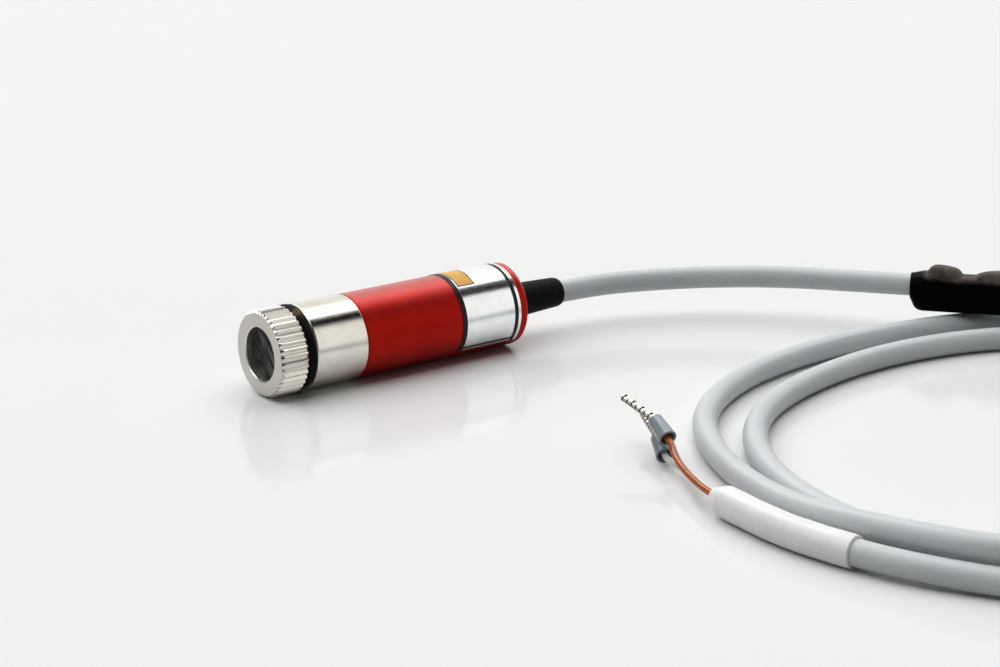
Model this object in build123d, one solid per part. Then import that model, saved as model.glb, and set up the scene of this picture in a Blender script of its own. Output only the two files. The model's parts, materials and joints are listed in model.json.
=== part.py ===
from build123d import *
import math
import os

# Laser diode module: a round line laser with a knurled focus ring and its lead, lying on its side.
# The beam leaves along -X, the lead along +X, and Z is up from the surface that it lies on.
# Millimetres. Stations along the optical axis count from the front face of the focus ring.

# Outside of the module
body_diameter = 12.0
ring_overhang = 0.1
seal_overhang = 0.12
ring_length = 4.2
seal_gap = 1.5
nose_length = 8.25
tube_length = 27.55
boot_length = 9.2
edge_break = 0.12
tube_end_round = 0.5

# Focus ring and its optics
knurl_count = 40
knurl_depth = 0.38
knurl_width = 0.62
ring_face = 2.35
aperture_bevel = 0.15
optic_recess = 1.1
optic_thickness = 1.2
ridge_count = 11
ridge_height = 0.12
ridge_turn = 39.0
stem_length = 6.8
stem_wall = 1.15
lens_ledge = 0.4
lens_edge = 1.2
lens_crown = 0.9
lens_rim = 0.75
retainer_length = 1.0
retainer_wall = 0.6
optic_clearance = 0.05

# Nose with the focus thread, and the seal
nose_wall = 1.45
thread_clearance = 0.1
seal_clearance = 0.05
seal_flat = 0.07

# Anti-backlash spring and its slip washer
washer_thickness = 0.4
washer_wall = 1.7
slip_clearance = 0.05
spring_space = 2.7
spring_wire = 0.45
spring_turns = 2

# Tube, spigot and diode holder
tube_wall = 0.6
rear_wall = 1.6
spigot_length = 5.05
spigot_wall = 0.6
spigot_clearance = 0.05
holder_length = 4.85
holder_clearance = 0.05
diode_step = 1.3
diode_wall = 1.8
diode_flange_thickness = 1.2
diode_shoulder = 1.02
diode_can_length = 2.3
diode_lead_diameter = 0.45
diode_lead_pitch = 1.8
diode_lead_length = 5.0
diode_short_lead = 2.0
diode_clearance = 0.1

# Driver board and its parts
board_gap = 1.65
board_margin = 1.1
board_thickness = 0.8
board_drop = 0.6
board_inset = 2.0
slot_clearance = 0.05
chip_size = (3.0, 3.0, 1.0)
capacitor_size = (3.5, 2.8, 1.9)
trimmer_size = (3.0, 3.0, 1.4)
trimmer_slot = (2.0, 0.5, 0.4)
resistor_size = (2.0, 1.25, 0.5)
resistor_margin = 0.3
part_spacing = 0.6

# Label round the tube
label_length = 10.45
label_margin = 1.15
label_thickness = 0.06
label_below = 44.0
adhesive = 0.01

# Lead
cable_diameter = 3.3
cable_clearance = 0.05
core_diameter = 0.9
core_gap = 0.15
core_stub = 3.2
exit_run = 5.2

# Strain relief and the clamp ring behind it
boot_base_wall = 0.7
boot_end_wall = 0.3
boot_end_round = 0.24
boot_neck_wall = 0.3
boot_flange_overhang = 0.9
boot_flange_length = 1.25
boot_clearance = 0.05
clamp_wall = 0.9
clamp_length = 0.9

# In-line unit on the lead, a small converter in a shrunk sleeve
unit_width = 4.6
unit_top = 1.85
unit_bottom = 3.7
unit_slope = (1.1, 3.0)
unit_round = 0.9
unit_socket = 2.5
unit_hug_length = 3.4
unit_hug_wall = 0.35
unit_hug_round = 0.25
unit_bump_width = 3.4
unit_bump_round = 0.9
first_bump = (2.9, 4.4, 3.15)
second_bump = (9.8, 8.0, 2.5)

# Marker sleeve and cable end
sleeve_wall = 0.35
neck_length = 2.2
neck_wall = 0.2
sleeve_lap = 0.2

# Ferrules on the two cores
ferrule_length = 10.0
collar_length = 3.8
collar_play = 0.47
collar_wall = 0.3
collar_floor = 1.4
collar_end_wall = 0.44
collar_end_round = 0.25
funnel_play = 0.17
ferrule_wall = 0.13
conductor_diameter = 0.66
ferrule_clearance = 0.04
crimp_count = 4
crimp_pitch = 1.63
crimp_width = 0.75
crimp_depth = 0.16
ferrule_bend_run = 0.25
ferrule_bend_radius = 1.2

# Diameters that follow from the walls and clearances
body_radius = body_diameter / 2
ring_diameter = body_diameter + 2 * ring_overhang
seal_diameter = body_diameter + 2 * seal_overhang
aperture_diameter = ring_diameter - 2 * ring_face
thread_bore = body_diameter - 2 * nose_wall
stem_diameter = thread_bore - 2 * thread_clearance
lens_bore = stem_diameter - 2 * stem_wall
lens_diameter = lens_bore - 2 * optic_clearance
light_bore = lens_bore - 2 * lens_ledge
tube_bore = body_diameter - 2 * tube_wall
spigot_diameter = tube_bore - 2 * spigot_clearance
holder_bore = spigot_diameter - 2 * spigot_wall
holder_diameter = holder_bore - 2 * holder_clearance
diode_bore = holder_diameter - 2 * diode_wall
diode_flange_diameter = diode_bore - 2 * diode_clearance
diode_can_diameter = diode_flange_diameter - 2 * diode_shoulder
board_width = tube_bore - 2 * board_margin
cable_bore = cable_diameter + 2 * cable_clearance
boot_neck_diameter = cable_bore + 2 * boot_neck_wall
boot_flange_diameter = boot_neck_diameter + 2 * boot_flange_overhang
core_spacing = core_diameter + core_gap
sleeve_diameter = cable_bore + 2 * sleeve_wall
neck_bore = core_spacing + core_diameter + 2 * cable_clearance
collar_bore = core_diameter + 2 * collar_play
collar_diameter = collar_bore + 2 * collar_wall
ferrule_bore = conductor_diameter + 2 * ferrule_clearance
ferrule_tube_diameter = ferrule_bore + 2 * ferrule_wall
grip_bore = ferrule_tube_diameter + 2 * ferrule_clearance
collar_end_diameter = grip_bore + 2 * collar_end_wall
funnel_bore = core_diameter + 2 * funnel_play

# Stations that follow
seal_back = ring_length + seal_gap
joint_at = seal_back + nose_length
tube_back = joint_at + tube_length
boot_end = tube_back + boot_length
axis_height = max(body_diameter, ring_diameter, seal_diameter) / 2
place = Pos(-boot_end / 2, 0, axis_height)
optic_back = optic_recess + optic_thickness
stem_end = ring_length + stem_length
lens_seat = stem_end - retainer_length - lens_edge - optic_clearance
washer_front = stem_end + slip_clearance
holder_front = washer_front + washer_thickness + spring_space
holder_back = holder_front + holder_length
spigot_end = joint_at + spigot_length
flange_front = holder_front + diode_step
flange_back = flange_front + diode_flange_thickness
board_front = holder_back - board_inset
rear_inside = tube_back - rear_wall
clamp_back = rear_inside - boot_clearance - boot_flange_length - cable_clearance
cable_start = clamp_back - clamp_length
board_back = cable_start - board_gap
board_length = board_back - board_front
exit_x = boot_end / 2


# Lead route: straight out of the strain relief, over to the in-line unit
lead_route = [
    (cable_start - boot_end / 2, 0.0, axis_height),
    (exit_x + exit_run, 0.0, axis_height),
    (40.0, -3.3, 6.22),
    (48.8, -8.5, 6.45),
    (57.2, -16.2, 6.75),
    (63.97, -25.9, 7.07),
    (69.55, -32.96, 7.18),
]

# Loose turns, clockwise from above, and the tail that ends in the marker sleeve
loop_route = [
    (85.05, -52.58, 7.51),
    (90.32, -59.25, 7.62),
    (96.6, -68.2, 5.6),
    (100.4, -80.5, 2.4),
    (97.4, -95.0, 1.65),
    (84.0, -110.2, 1.65),
    (66.5, -120.2, 1.65),
    (46.5, -123.6, 1.65),
    (27.6, -119.6, 1.65),
    (13.4, -109.6, 1.65),
    (5.3, -95.2, 1.65),
    (3.9, -79.6, 1.65),
    (8.8, -63.2, 1.65),
    (19.8, -50.0, 1.65),
    (35.6, -42.9, 1.65),
    (54.0, -40.6, 1.65),
    (71.5, -44.2, 1.65),
    (86.0, -54.4, 1.65),
    (93.6, -70.5, 1.65),
    (92.4, -88.0, 1.65),
    (82.4, -102.6, 1.65),
    (66.0, -112.2, 1.65),
    (48.5, -116.8, 2.9),
    (32.5, -119.4, 5.5),
    (17.6, -116.4, 5.4),
    (6.2, -106.8, 4.72),
    (1.2, -93.8, 4.3),
    (0.4, -78.6, 2.3),
    (4.3, -61.8, 1.65),
    (13.6, -46.0, 1.65),
    (28.6, -36.5, 1.65),
    (47.0, -33.1, 1.65),
    (65.5, -34.6, 1.65),
    (83.5, -40.8, 1.65),
    (98.5, -53.0, 1.65),
    (106.6, -70.5, 1.65),
    (106.2, -90.0, 1.65),
    (97.6, -108.4, 1.65),
    (82.6, -122.0, 1.65),
    (63.5, -129.8, 1.65),
    (43.0, -130.8, 1.65),
    (23.6, -125.6, 1.65),
    (8.4, -113.4, 1.65),
    (-0.95, -99.1, 2.05),
    (-4.15, -86.3, 2.05),
    (-4.6, -78.6, 2.05),
    (-3.95, -71.6, 2.05),
]

# The two cores beyond the sleeve, each ending at the mouth of its ferrule
brown_route = [
    (-4.35, -71.55, 2.33),
    (-3.96, -67.37, 2.33),
    (-2.67, -63.89, 2.6),
    (-0.5, -59.38, 2.6),
    (0.7, -57.28, 2.9),
    (1.27, -54.55, 4.0),
]
white_route = [
    (-3.5, -71.55, 1.95),
    (-3.11, -67.37, 1.95),
    (-1.29, -63.27, 1.45),
    (0.67, -58.27, 0.75),
    (0.75, -55.72, 0.63),
    (1.76, -53.55, 1.35),
]

# Where the bent metal tube of each ferrule points
brown_tip = (-0.062, 0.969, 0.239)
white_tip = (0.365, 0.912, 0.187)


def turned(*outline, rounds=(), sweep_angle=360.0):
    """Revolves an outline of (station, radius) points about the optical axis, some corners rounded."""
    section = make_face(Polyline(*outline, close=True))
    for corner, radius in rounds:
        section = fillet(section.vertices().sort_by_distance(corner)[0], radius)
    return revolve(section, Axis.X, sweep_angle)


def ring_shape(front, back, inner_diameter, outer_diameter):
    """A plain turned ring between two stations."""
    inner, outer = inner_diameter / 2, outer_diameter / 2
    return turned((front, inner), (front, outer), (back, outer), (back, inner))


def block(front, size, base):
    """A board part: its length starts at a station, its foot stands at a height from the axis."""
    length, width, height = size
    return Pos(front + length / 2, 0, base + height / 2) * Box(length, width, height)


def focus_ring():
    """Knurled head, recessed aperture and the threaded stem, turned in one piece."""
    radius, aperture, stem = ring_diameter / 2, aperture_diameter / 2, stem_diameter / 2
    ring = turned(
        (0, aperture + aperture_bevel),
        (0, radius - edge_break),
        (edge_break, radius),
        (ring_length - edge_break, radius),
        (ring_length, radius - edge_break),
        (ring_length, stem),
        (stem_end, stem),
        (stem_end, lens_bore / 2),
        (lens_seat, lens_bore / 2),
        (lens_seat, light_bore / 2),
        (optic_back, light_bore / 2),
        (optic_back, aperture),
        (aperture_bevel, aperture),
    )
    flare = (knurl_depth + edge_break) / knurl_depth
    notch_section = Polyline(
        (-knurl_width / 2 * flare, radius + edge_break),
        (0, radius - knurl_depth),
        (knurl_width / 2 * flare, radius + edge_break),
        close=True,
    )
    notch = extrude(Plane.YZ * make_face(notch_section), ring_length)
    return ring - [Rot(X=360 / knurl_count * (i + 0.5)) * notch for i in range(knurl_count)]


def line_lens():
    """Round plate with straight cylinder ridges on its front, which spread the beam into a line."""
    radius = aperture_diameter / 2 - optic_clearance
    pitch = 2 * radius / ridge_count
    profile = Polyline((optic_recess + ridge_height, -radius), (optic_back, -radius), (optic_back, radius))
    profile += Line((optic_back, radius), (optic_recess + ridge_height, radius))
    for i in range(ridge_count):
        high = radius - pitch * i
        ends = (optic_recess + ridge_height, high), (optic_recess + ridge_height, high - pitch)
        profile += ThreePointArc(ends[0], (optic_recess, high - pitch / 2), ends[1])
    ridged = extrude(make_face(profile), radius, both=True)
    return Rot(X=-ridge_turn) * (ridged & ring_shape(0, stem_end, 0, 2 * radius))


def collimating_lens():
    """Plano-convex lens with its crown towards the laser diode."""
    radius, crown = lens_diameter / 2, lens_diameter / 2 - lens_rim
    edge = lens_seat + lens_edge
    crown_radius = (crown**2 + lens_crown**2) / (2 * lens_crown)
    dome = RadiusArc((edge, crown), (edge + lens_crown, 0), crown_radius)
    rim = (lens_seat, radius), (edge, radius), (edge, crown)
    rest = Polyline((edge + lens_crown, 0), (lens_seat, 0), *rim)
    return revolve(make_face(dome + rest), Axis.X)


def o_ring():
    """Seal squeezed between the focus ring and the nose, its section rounded on all corners."""
    inner = thread_bore / 2
    width = seal_gap - 2 * seal_clearance
    height = seal_diameter / 2 - inner
    section = RectangleRounded(width, height, width / 2 - seal_flat)
    return revolve(Pos(ring_length + seal_gap / 2, inner + height / 2) * section, Axis.X)


def focus_spring():
    """Coil spring between the slip washer and the diode holder."""
    height = spring_space - spring_wire - 2 * slip_clearance
    start = washer_front + washer_thickness + slip_clearance + spring_wire / 2
    helix = Helix(height / spring_turns, height, (stem_diameter - thread_clearance - washer_wall) / 2)
    wire = sweep(Plane(helix @ 0, z_dir=helix % 0) * Circle(spring_wire / 2), helix, is_frenet=True)
    return Pos(start, 0, 0) * Rot(Y=90) * wire


def front_barrel():
    """Plated nose: a threaded bore for the focus ring's stem, and a spigot that plugs into the tube."""
    return turned(
        (seal_back, thread_bore / 2),
        (seal_back, body_radius - edge_break),
        (seal_back + edge_break, body_radius),
        (joint_at - edge_break, body_radius),
        (joint_at, body_radius - edge_break),
        (joint_at, spigot_diameter / 2),
        (spigot_end, spigot_diameter / 2),
        (spigot_end, holder_bore / 2),
        (holder_front, holder_bore / 2),
        (holder_front, thread_bore / 2),
    )


def diode_holder():
    """Heat-sink plug with a stepped bore for the diode and a slot for the board's front end."""
    flange_bore = diode_bore / 2
    can_bore = diode_can_diameter / 2 + diode_clearance
    plug = turned(
        (holder_front, can_bore),
        (holder_front, holder_diameter / 2),
        (holder_back, holder_diameter / 2),
        (holder_back, flange_bore),
        (flange_front, flange_bore),
        (flange_front, can_bore),
    )
    slot_length = board_inset + slot_clearance
    slot_height = board_thickness + 2 * slot_clearance
    slot_foot = -board_drop - board_thickness - slot_clearance
    return plug - block(holder_back - slot_length, (slot_length, holder_diameter, slot_height), slot_foot)


def laser_diode():
    """Sealed can on its flange, two leads along the board and one cut short."""
    can = ring_shape(flange_front - diode_can_length, flange_front, 0, diode_can_diameter)
    flange = ring_shape(flange_front, flange_back, 0, diode_flange_diameter)
    lead_height = -board_drop + diode_lead_diameter / 2 + slot_clearance
    leads = [
        (-diode_lead_pitch / 2, lead_height, diode_lead_length),
        (diode_lead_pitch / 2, lead_height, diode_lead_length),
        (0, lead_height + diode_lead_pitch, diode_short_lead),
    ]
    solid = can + flange
    for y, z, length in leads:
        solid += Pos(flange_back + length / 2, y, z) * Rot(Y=90) * Cylinder(diode_lead_diameter / 2, length)
    return solid


def board_parts():
    """The driver board with its chip underneath and the other parts on top, the capacitor at the rear."""
    trimmer_at = flange_back + diode_lead_length + part_spacing
    trimmer_side = (board_width - trimmer_size[1]) / 2
    trimmer = block(trimmer_at, trimmer_size, -board_drop)
    slot_at = trimmer_at + (trimmer_size[0] - trimmer_slot[0]) / 2
    trimmer -= block(slot_at, trimmer_slot, trimmer_size[2] - trimmer_slot[2] - board_drop)
    resistor = block(trimmer_at, resistor_size, -board_drop)
    resistor_side = (resistor_size[1] - board_width) / 2 + resistor_margin
    resistor_pitch = resistor_size[0] + part_spacing
    board_foot = -board_drop - board_thickness
    chip_at = (board_front + board_back - chip_size[0]) / 2
    capacitor_at = cable_start - core_stub - part_spacing - capacitor_size[0]
    return {
        "driver_board": block(board_front, (board_length, board_width, board_thickness), board_foot),
        "set_resistors": Compound([Pos(resistor_pitch * i, resistor_side, 0) * resistor for i in range(2)]),
        "driver_chip": block(chip_at, chip_size, board_foot - chip_size[2]),
        "smoothing_capacitor": block(capacitor_at, capacitor_size, -board_drop),
        "current_trimmer": Pos(0, trimmer_side, 0) * trimmer,
    }


def supply_cores():
    """The two cores inside the tube, from the end of the cable to their pads on the board."""
    height = -board_drop + core_diameter / 2 + slot_clearance
    core = Rot(Y=90) * Cylinder(core_diameter / 2, core_stub)
    middle = cable_start - core_stub / 2
    return Compound([Pos(middle, side * core_spacing / 2, height) * core for side in (-1, 1)])


def body_tube():
    """Anodised tube, closed at the rear by a wall with a hole for the strain relief."""
    hole = boot_neck_diameter / 2 + boot_clearance
    return turned(
        (joint_at, tube_bore / 2),
        (joint_at, body_radius - edge_break),
        (joint_at + edge_break, body_radius),
        (tube_back, body_radius),
        (tube_back, hole),
        (rear_inside, hole),
        (rear_inside, tube_bore / 2),
        rounds=[((tube_back, body_radius), tube_end_round)],
    )


def label():
    """Foil label over the top of the tube, open along the underside."""
    back = tube_back - label_margin
    inner = body_radius + adhesive
    outer = inner + label_thickness
    front = back - label_length
    strip = turned(
        (front, inner), (front, outer), (back, outer), (back, inner), sweep_angle=180 + 2 * label_below
    )
    return Rot(X=-label_below) * strip


def strain_relief():
    """Rubber boot: a flange inside the rear wall, a neck through it and a tapered sleeve outside."""
    bore = cable_bore / 2
    flange_front = rear_inside - boot_clearance - boot_flange_length
    flange_back = rear_inside - boot_clearance
    base = tube_back + boot_clearance
    tip = (boot_end, bore + boot_end_wall)
    return turned(
        (flange_front, bore),
        (flange_front, boot_flange_diameter / 2),
        (flange_back, boot_flange_diameter / 2),
        (flange_back, boot_neck_diameter / 2),
        (base, boot_neck_diameter / 2),
        (base, bore + boot_base_wall),
        tip,
        (boot_end, bore),
        rounds=[(tip, boot_end_round)],
    )


def bend_radii(route):
    """Largest tangent arc at each inner point: 0.45 of the shorter run over the tangent of half the turn."""
    points = [Vector(*p) for p in route]
    runs = [b - a for a, b in zip(points, points[1:])]
    radii = []
    for before, after in zip(runs, runs[1:]):
        half_turn = math.radians(before.get_angle(after) / 2)
        radii.append(0.45 * min(before.length, after.length) / math.tan(half_turn))
    return radii


def cord_path(route):
    return FilletPolyline(*route, radius=bend_radii(route))


def cord(name, route, diameter):
    """A round cord along straight runs and tangent arcs."""
    path = cord_path(route)
    solid = sweep(Plane(path @ 0, z_dir=path % 0) * Circle(diameter / 2), path)
    expected = math.pi * diameter**2 / 4 * path.length
    radii = ", ".join(f"{r:.1f}" for r in bend_radii(route))
    print(f"{name}: length {path.length:.1f}, volume {solid.volume:.1f} of {expected:.1f}, radii {radii}")
    return solid


def inline_unit():
    """Sealed converter: its parts stand out under a shrunk sleeve, which hugs the cable at both ends."""
    start, end = Vector(*lead_route[-1]), Vector(*loop_route[0])
    axis = (end - start).normalized()
    length = (end - start).length + 2 * unit_socket
    slope_run, slope_rise = unit_slope
    side = Polyline(
        (unit_top, 0),
        (unit_top, length),
        (slope_rise - unit_bottom, length),
        (-unit_bottom, length - slope_run),
        (-unit_bottom, slope_run),
        (slope_rise - unit_bottom, 0),
        close=True,
    )
    body = extrude(Plane.YZ * make_face(side), unit_width / 2, both=True)
    unit = fillet(body.edges(), unit_round)
    hug = Cylinder(cable_bore / 2 + unit_hug_wall, unit_hug_length)
    hug = fillet(hug.edges(), unit_hug_round)
    for middle in (unit_hug_length / 2, length - unit_hug_length / 2):
        unit += Pos(0, 0, middle) * hug
    for bump_at, bump_length, bump_top in (first_bump, second_bump):
        bump = Box(unit_bump_width, bump_top, bump_length)
        top = bump.faces().sort_by(Axis.Y)[-1]
        uprights = bump.edges().filter_by(Axis.Y)
        bump = fillet(top.edges() + uprights, unit_bump_round)
        unit += Pos(0, bump_top / 2, bump_at + bump_length / 2) * bump
    depth = unit_socket + cable_clearance
    socket = Cylinder(cable_bore / 2, depth)
    for middle in (depth / 2, length - depth / 2):
        unit -= Pos(0, 0, middle) * socket
    return Plane(start - axis * unit_socket, x_dir=Vector(0, 0, 1).cross(axis), z_dir=axis) * unit


def marker_sleeve():
    """Shrunk sleeve along the cable's last runs, necked down on the two cores."""
    radii = bend_radii(loop_route)[-2:]
    first, second = Vector(*loop_route[-4]), Vector(*loop_route[-3])
    path = FilletPolyline((first + second) / 2, *loop_route[-3:], radius=radii)
    start = Plane(path @ 0, z_dir=path % 0)
    bore, mouth = cable_bore / 2, neck_bore / 2
    wall = sweep(start * Circle(sleeve_diameter / 2), path) - sweep(start * Circle(bore), path)
    neck_section = Polyline(
        (bore, -sleeve_lap),
        (sleeve_diameter / 2, -sleeve_lap),
        (sleeve_diameter / 2, cable_clearance),
        (mouth + neck_wall, neck_length),
        (mouth, neck_length),
        (bore, cable_clearance),
        close=True,
    )
    neck = revolve(Plane.XZ * make_face(neck_section), Axis.Z)
    return wall + Plane(path @ 1, z_dir=path % 1) * neck


def seat_of(route):
    """A plane at the mouth of a ferrule whose X runs on along the core's last run, with Y level."""
    mouth, before = Vector(*route[-1]), Vector(*route[-2])
    direction = mouth - before
    level = Vector(0, 0, 1).cross(direction)
    return Plane(mouth, x_dir=direction, z_dir=direction.cross(level))


def tube_path(route, tip):
    """The line of a ferrule's tube: straight through the collar's floor, a small bend, then to its tip."""
    seat = seat_of(route)
    start = seat.origin + seat.x_dir * (collar_length - collar_floor)
    corner = seat.origin + seat.x_dir * (collar_length + ferrule_bend_run)
    end = corner + Vector(*tip).normalized() * (ferrule_length - collar_length - ferrule_bend_run)
    return FilletPolyline(start, corner, end, radius=ferrule_bend_radius)


def rod(path, diameter):
    """A round rod along a path."""
    return sweep(Plane(path @ 0, z_dir=path % 0) * Circle(diameter / 2), path)


def ferrule_collar(route):
    """Insulating collar: a funnel mouth for the core and a floor that grips the metal tube."""
    floor = collar_length - collar_floor
    end = (collar_length, collar_end_diameter / 2)
    collar = turned(
        (0, collar_bore / 2),
        (0, collar_diameter / 2),
        end,
        (collar_length, grip_bore / 2),
        (floor, grip_bore / 2),
        (floor, funnel_bore / 2),
        rounds=[(end, collar_end_round)],
    )
    return seat_of(route) * collar


def ferrule_tube(route, tip):
    """Tinned tube, slightly bent, with crimp notches pressed into its top and underside."""
    path = tube_path(route, tip)
    tube = rod(path, ferrule_tube_diameter) - rod(path, ferrule_bore)
    direction = Vector(*tip).normalized()
    level = Vector(0, 0, 1).cross(direction)
    tip_plane = Plane(path @ 1, x_dir=direction, z_dir=direction.cross(level))
    notch = Box(crimp_width, ferrule_tube_diameter, crimp_depth)
    depth = ferrule_tube_diameter / 2 - crimp_depth / 2
    for i in range(crimp_count):
        back = crimp_pitch * (i + 0.5)
        for side in (-1, 1):
            tube -= tip_plane * Pos(-back, 0, side * depth) * notch
    return tube


def core(name, route, tip):
    """One insulated core: along its route, into the collar, and its bare conductor through the tube."""
    bare_start = collar_length - collar_floor - ferrule_clearance
    straight = Pos(bare_start / 2, 0, 0) * Rot(Y=90) * Cylinder(core_diameter / 2, bare_start)
    join = Pos(bare_start, 0, 0) * Rot(Y=90) * Cylinder(conductor_diameter / 2, 2 * ferrule_clearance)
    inside = seat_of(route) * (straight + join)
    return cord(name, route, core_diameter) + inside + rod(tube_path(route, tip), conductor_diameter)


def module_nodes():
    """Everything turned or mounted on the optical axis, still centred on it."""
    washer_diameter = stem_diameter - thread_clearance
    return {
        "focus_ring": focus_ring(),
        "line_lens": line_lens(),
        "collimating_lens": collimating_lens(),
        "lens_retainer": ring_shape(
            stem_end - retainer_length, stem_end, lens_diameter - 2 * retainer_wall, lens_diameter
        ),
        "o_ring": o_ring(),
        "thrust_washer": ring_shape(
            washer_front, washer_front + washer_thickness, washer_diameter - 2 * washer_wall, washer_diameter
        ),
        "focus_spring": focus_spring(),
        "front_barrel": front_barrel(),
        "diode_holder": diode_holder(),
        "laser_diode": laser_diode(),
        "supply_cores": supply_cores(),
        "body_tube": body_tube(),
        "label": label(),
        "strain_relief": strain_relief(),
        "cable_clamp": ring_shape(cable_start, clamp_back, cable_bore, cable_bore + 2 * clamp_wall),
        **board_parts(),
    }


def lead_nodes():
    """The lead and everything on it, where it lies."""
    nodes = {
        "cable_lead": cord("cable_lead", lead_route, cable_diameter),
        "inline_unit": inline_unit(),
        "cable_loops": cord("cable_loops", loop_route, cable_diameter),
        "marker_sleeve": marker_sleeve(),
    }
    for colour, route, tip in (("brown", brown_route, brown_tip), ("white", white_route, white_tip)):
        nodes[f"{colour}_core"] = core(f"{colour}_core", route, tip)
        nodes[f"{colour}_ferrule_collar"] = ferrule_collar(route)
        nodes[f"{colour}_ferrule_tube"] = ferrule_tube(route, tip)
    return nodes


os.makedirs("parts", exist_ok=True)
for node, solid in module_nodes().items():
    export_step(place * solid, f"parts/{node}.step")
for node, solid in lead_nodes().items():
    export_step(solid, f"parts/{node}.step")
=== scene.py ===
"""Looks of the laser diode module: plated ring and nose, red tube, foil label, grey lead with its in-line unit.

The module lies along X with its beam towards -X, and Z is up from the floor. Lengths are metres, as in the frame.
Shapes are worked out in millimetres along the optical axis, counted from the front face of the focus ring.
"""

import json
import math

import bpy
import numpy as np
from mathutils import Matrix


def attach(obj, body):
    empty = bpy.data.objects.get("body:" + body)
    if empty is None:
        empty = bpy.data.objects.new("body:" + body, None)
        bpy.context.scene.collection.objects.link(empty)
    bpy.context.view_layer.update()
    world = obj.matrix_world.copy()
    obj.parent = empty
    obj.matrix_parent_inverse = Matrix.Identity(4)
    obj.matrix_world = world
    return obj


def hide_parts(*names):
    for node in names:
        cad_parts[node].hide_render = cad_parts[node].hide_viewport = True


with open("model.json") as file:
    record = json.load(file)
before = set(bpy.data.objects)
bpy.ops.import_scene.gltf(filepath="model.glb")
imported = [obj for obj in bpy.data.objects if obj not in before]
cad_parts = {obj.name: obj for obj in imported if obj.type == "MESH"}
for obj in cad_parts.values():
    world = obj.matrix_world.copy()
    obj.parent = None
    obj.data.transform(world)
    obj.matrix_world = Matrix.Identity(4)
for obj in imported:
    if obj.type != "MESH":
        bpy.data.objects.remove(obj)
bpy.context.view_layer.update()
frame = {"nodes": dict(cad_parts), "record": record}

# Sizes in millimetres and angles in degrees that more than one shape or finish uses
MM = 0.001
FRONT_X = -25.35
AXIS_Z = 6.12
EDGE = 0.12
RING_RADIUS = 6.1
BEVEL_LENGTH = 0.42
BEVEL_DEPTH = 0.38
RIDGE_TURN = 39.0
BODY_RADIUS = 6.0
THREAD_RADIUS = 4.55
NOSE_BACK = 13.95
TUBE_BACK = 41.5
CABLE_RADIUS = 1.65
CABLE_BORE = 1.7
UNIT_WAY = (0.62, -0.785)
CRIMP_PITCH = 1.63
SHARP_ANGLE = 35.0


class Shade:
    """A socket of one node tree, so that shader maths reads as Python: operators on values add Math nodes."""

    def __init__(self, tree, socket=None):
        self.tree = tree
        self.socket = socket

    def node(self, kind, settings=None, sockets=None, output=0):
        """Adds one node: its settings first, then the values or links of its sockets, and wraps one output."""
        made = self.tree.nodes.new(kind)
        for name, value in (settings or {}).items():
            setattr(made, name, value)
        for name, value in (sockets or {}).items():
            if isinstance(value, Shade):
                self.tree.links.new(value.socket, made.inputs[name])
            else:
                made.inputs[name].default_value = value
        return Shade(self.tree, made.outputs[output] if len(made.outputs) else None)

    def math(self, operation, *others):
        """One Math node on this value and the others, in their order."""
        values = dict(enumerate((self, *others)))
        return self.node("ShaderNodeMath", {"operation": operation}, values)

    def __add__(self, other):
        return self.math("ADD", other)

    __radd__ = __add__

    def __mul__(self, other):
        return self.math("MULTIPLY", other)

    def __sub__(self, other):
        return self.math("SUBTRACT", other)

    def __rsub__(self, other):
        return self.node("ShaderNodeMath", {"operation": "SUBTRACT"}, {0: other, 1: self})

    def __truediv__(self, other):
        return self.math("DIVIDE", other)

    def step(self, low, high):
        """0 below low, 1 above high, and a smooth slope between them; low above high turns it round."""
        ends = {"From Min": low, "From Max": high}
        return self.node("ShaderNodeMapRange", {"interpolation_type": "SMOOTHSTEP"}, {"Value": self, **ends})

    def band(self, low, high, soft):
        """1 between low and high, 0 outside, with edges as wide as soft."""
        return self.step(low - soft / 2, low + soft / 2) * self.step(high + soft / 2, high - soft / 2)

    def mix(self, first, second):
        """The first colour where this value is 0, and the second where it is 1."""
        colours = {0: self, 6: colour(first), 7: colour(second)}
        return self.node("ShaderNodeMix", {"data_type": "RGBA"}, colours, output=2)


def colour(value):
    """A colour socket as it is, and three numbers with an opaque fourth."""
    return value if isinstance(value, Shade) else (*value, 1.0)


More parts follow.
